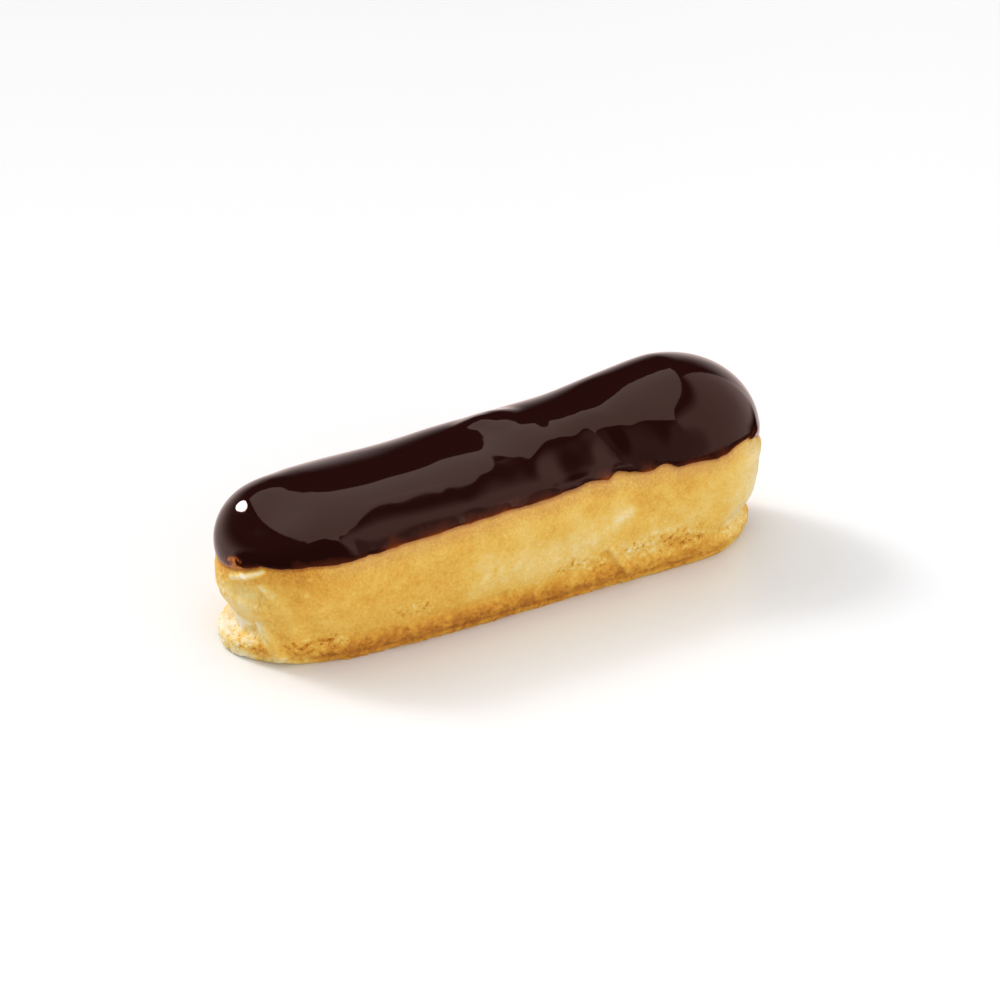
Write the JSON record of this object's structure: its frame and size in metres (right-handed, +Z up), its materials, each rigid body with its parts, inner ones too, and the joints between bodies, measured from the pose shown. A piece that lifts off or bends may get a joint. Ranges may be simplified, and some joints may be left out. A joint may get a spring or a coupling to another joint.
{
  "type": "chocolate eclair",
  "caption": "Long baked choux eclair with a round hump at one end, a waist above its crumbly foot, and glossy dark chocolate icing over the crown.",
  "frame": {"origin": "middle of the flat base", "axes": "+X along the eclair towards its larger, higher end; +Z up through the icing"},
  "size_m": [0.131, 0.039, 0.042],
  "materials": {
    "choux_crust": "dry baked crust, matte and finely grained",
    "chocolate_icing": "smooth glossy dark chocolate glaze"
  },
  "bodies": {
    "root": {"choux_shell": "choux_crust", "chocolate_icing": "chocolate_icing"}
  },
  "joints": []
}
